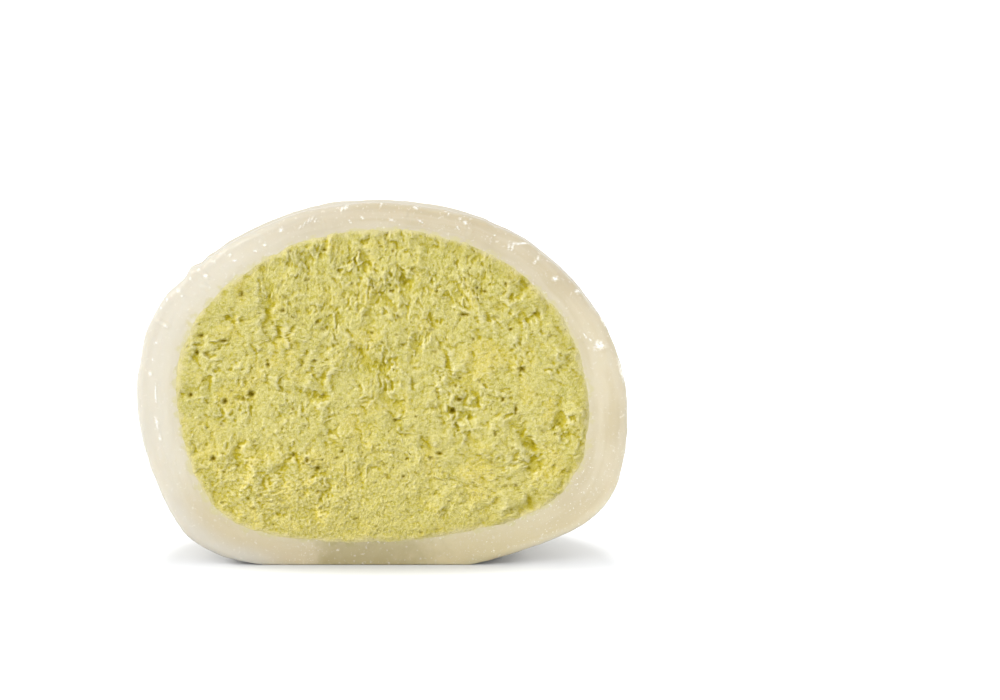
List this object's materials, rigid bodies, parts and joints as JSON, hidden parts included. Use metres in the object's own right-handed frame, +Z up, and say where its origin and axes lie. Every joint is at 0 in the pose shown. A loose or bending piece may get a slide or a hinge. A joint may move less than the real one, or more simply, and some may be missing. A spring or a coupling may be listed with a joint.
{
  "type": "filled rice cake half",
  "caption": "Half of a round filled rice cake, cut down through the middle: a soft dough shell round a ball of green frozen filling, standing on its flat base.",
  "frame": {"origin": "on the ground, under the middle of the half's bounding box", "axes": "+X across the cut face, +Y from the cut face to the round back, +Z up"},
  "size_m": [0.046, 0.0238, 0.0345],
  "materials": {
    "dough": "soft translucent rice dough, moist where it is cut and dusted with starch outside",
    "filling": "rough, finely porous green ice cream"
  },
  "bodies": {
    "root": {"dough": "dough", "filling": "filling"}
  },
  "joints": []
}
